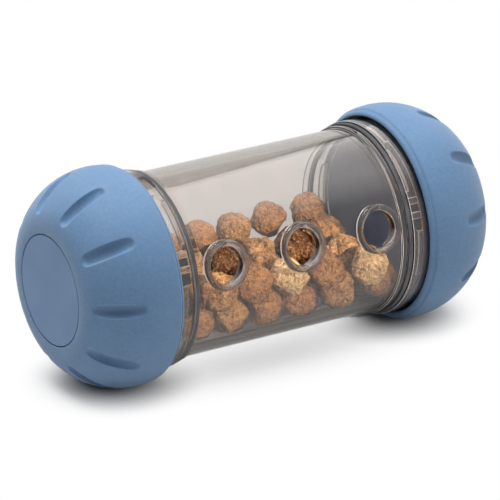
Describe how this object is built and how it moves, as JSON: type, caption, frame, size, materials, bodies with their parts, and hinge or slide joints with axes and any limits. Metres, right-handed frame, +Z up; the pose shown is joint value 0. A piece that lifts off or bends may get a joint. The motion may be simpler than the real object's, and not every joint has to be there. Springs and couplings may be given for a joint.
{
  "type": "treat dispensing roll toy",
  "caption": "Pet roll toy: a clear smoke tube with a row of rimmed treat ports, closed by rubber-domed caps that twist and pull off for filling.",
  "frame": {"origin": "middle of the roll axis, halfway between the two end discs", "axes": "+X along the roll axis to the right cap, +Z up with the kibble at the bottom, the row of ports on the front side towards -Y"},
  "size_m": [0.1862, 0.088, 0.088],
  "materials": {
    "smoke_clear": "polished clear plastic with a light smoke tint",
    "clear_rim": "polished clear plastic",
    "black_seal": "satin black rubber",
    "smoke_collar": "polished plastic with a deeper smoke tint",
    "slate_base": "satin slate-blue plastic",
    "blue_rubber": "matte soft-touch rubber with a fine grain",
    "blue_disc": "matte plastic, a little greyer than the rubber",
    "kibble": "rough baked crumb"
  },
  "bodies": {
    "chamber": {"tube": "smoke_clear", "port_rim_left": "clear_rim", "port_rim_middle": "clear_rim", "port_rim_right": "clear_rim", "treat_kibble": "kibble"},
    "left_seal_ring": {"left_seal": "black_seal"},
    "left_cap": {"left_collar": "smoke_collar", "left_base": "slate_base", "left_dome": "blue_rubber", "left_disc": "blue_disc"},
    "right_seal_ring": {"right_seal": "black_seal"},
    "right_cap": {"right_collar": "smoke_collar", "right_base": "slate_base", "right_dome": "blue_rubber", "right_disc": "blue_disc"}
  },
  "joints": [
    {"name": "left_cap_twist", "type": "hinge", "parent": "chamber", "child": "left_seal_ring", "pos_m": [-0.05, 0, 0], "axis": [-1, 0, 0], "range_deg": [0, 36]},
    {"name": "left_cap_pull", "type": "slide", "parent": "left_seal_ring", "child": "left_cap", "axis": [-1, 0, 0], "range_m": [0, 0.06]},
    {"name": "right_cap_twist", "type": "hinge", "parent": "chamber", "child": "right_seal_ring", "pos_m": [0.05, 0, 0], "axis": [-1, 0, 0], "range_deg": [0, 36]},
    {"name": "right_cap_pull", "type": "slide", "parent": "right_seal_ring", "child": "right_cap", "axis": [1, 0, 0], "range_m": [0, 0.06]}
  ]
}
